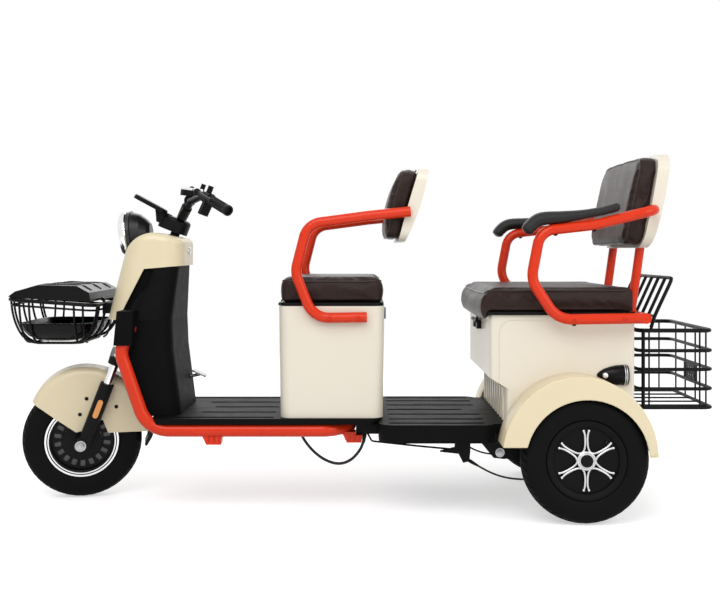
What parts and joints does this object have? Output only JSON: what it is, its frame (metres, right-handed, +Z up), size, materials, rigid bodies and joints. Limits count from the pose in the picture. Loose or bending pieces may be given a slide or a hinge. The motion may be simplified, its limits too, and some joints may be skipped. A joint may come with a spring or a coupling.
{
  "type": "electric fat tire tricycle",
  "caption": "Electric passenger tricycle with a raked steered front wheel, step-through deck, rider's seat, rear bench with looped arms, and front and rear baskets.",
  "frame": {"origin": "on the floor, in the centre plane, under the middle of the overall length", "axes": "+Z up; -X is forward, towards the steered wheel; -Y is the rider's left"},
  "size_m": [2.197, 0.7887, 1.106],
  "materials": {
    "tyre": "matte",
    "rim_black": "satin",
    "chrome": "polished",
    "star_silver": "satin",
    "steel": "satin",
    "red_frame": "gloss",
    "cream_panel": "gloss",
    "black_frame": "satin",
    "black_plastic": "satin",
    "seat_leather": "satin",
    "pad_black": "satin",
    "wire_black": "satin",
    "amber": "gloss",
    "lens": "gloss",
    "lamp_black": "gloss",
    "battery": "matte"
  },
  "bodies": {
    "frame": {"main_frame": "red_frame", "front_cowl": "cream_panel", "leg_shield": "black_plastic", "front_deck": "black_plastic", "rear_deck": "black_plastic", "rear_subframe": "black_frame", "rear_axle": "steel", "front_seat_box": "cream_panel", "battery_block": "battery", "seat_hinges": "black_frame", "seat_latch": "black_plastic", "front_arms": "red_frame", "front_back_pad": "seat_leather", "front_back_shell": "cream_panel", "rear_body": "cream_panel", "rear_fender_left": "cream_panel", "rear_fender_right": "cream_panel", "rear_arm_frame": "red_frame", "rear_arm_pads": "pad_black", "rear_back_pad": "seat_leather", "rear_back_shell": "cream_panel", "side_lamps": "lamp_black", "headlight_bucket": "black_plastic", "headlight_rim": "chrome", "headlight_lens": "lens", "front_basket": "wire_black", "rear_basket": "wire_black", "basket_back": "wire_black", "brake_pedal": "black_plastic", "underfloor_cable": "black_plastic", "brake_cable_left": "black_plastic", "brake_cable_right": "black_plastic"},
    "steering": {"front_axle": "steel", "steering_stem": "black_frame", "fork_stanchions": "chrome", "fork_legs": "black_frame", "fork_reflectors": "amber", "front_fender": "cream_panel", "mud_flap": "black_plastic", "handlebar": "black_frame", "steering_cover": "black_plastic", "grips": "pad_black", "bar_controls": "black_plastic", "dash": "black_plastic"},
    "front_wheel": {"front_tyre": "tyre", "front_rim": "rim_black", "front_rim_rings": "chrome"},
    "rear_wheel_left": {"rear_tyre_left": "tyre", "rear_rim_left": "rim_black", "rear_star_left": "star_silver"},
    "rear_wheel_right": {"rear_tyre_right": "tyre", "rear_rim_right": "rim_black", "rear_star_right": "star_silver"},
    "front_seat": {"front_seat_pan": "black_plastic", "front_cushion": "seat_leather"},
    "bench_seat": {"bench_pan": "black_plastic", "bench_cushion": "seat_leather"},
    "basket_lid": {"basket_lid": "wire_black"}
  },
  "joints": [
    {"name": "steering_turn", "type": "hinge", "parent": "frame", "child": "steering", "pos_m": [-0.74607, 0, 0.5], "axis": [0.3584, 0, 0.9336], "range_deg": [-50, 26]},
    {"name": "front_wheel_spin", "type": "hinge", "parent": "steering", "child": "front_wheel", "pos_m": [-0.90914, -0.00872, 0.18967], "axis": [-0.1941, 0.9781, 0.0745], "continuous": true},
    {"name": "rear_wheel_left_spin", "type": "hinge", "parent": "frame", "child": "rear_wheel_left", "pos_m": [0.668, -0.334, 0.19], "axis": [0, 1, 0], "continuous": true},
    {"name": "rear_wheel_right_spin", "type": "hinge", "parent": "frame", "child": "rear_wheel_right", "pos_m": [0.668, 0.334, 0.19], "axis": [0, 1, 0], "continuous": true},
    {"name": "front_seat_hinge", "type": "hinge", "parent": "frame", "child": "front_seat", "pos_m": [-0.256, 0, 0.634], "axis": [0, -1, 0], "range_deg": [0, 65]},
    {"name": "bench_hinge", "type": "hinge", "parent": "frame", "child": "bench_seat", "pos_m": [0.382, 0, 0.58], "axis": [0, -1, 0], "range_deg": [0, 70]},
    {"name": "basket_lid_hinge", "type": "hinge", "parent": "frame", "child": "basket_lid", "pos_m": [-0.824, 0, 0.652], "axis": [0, 1, 0], "range_deg": [0, 70]}
  ]
}
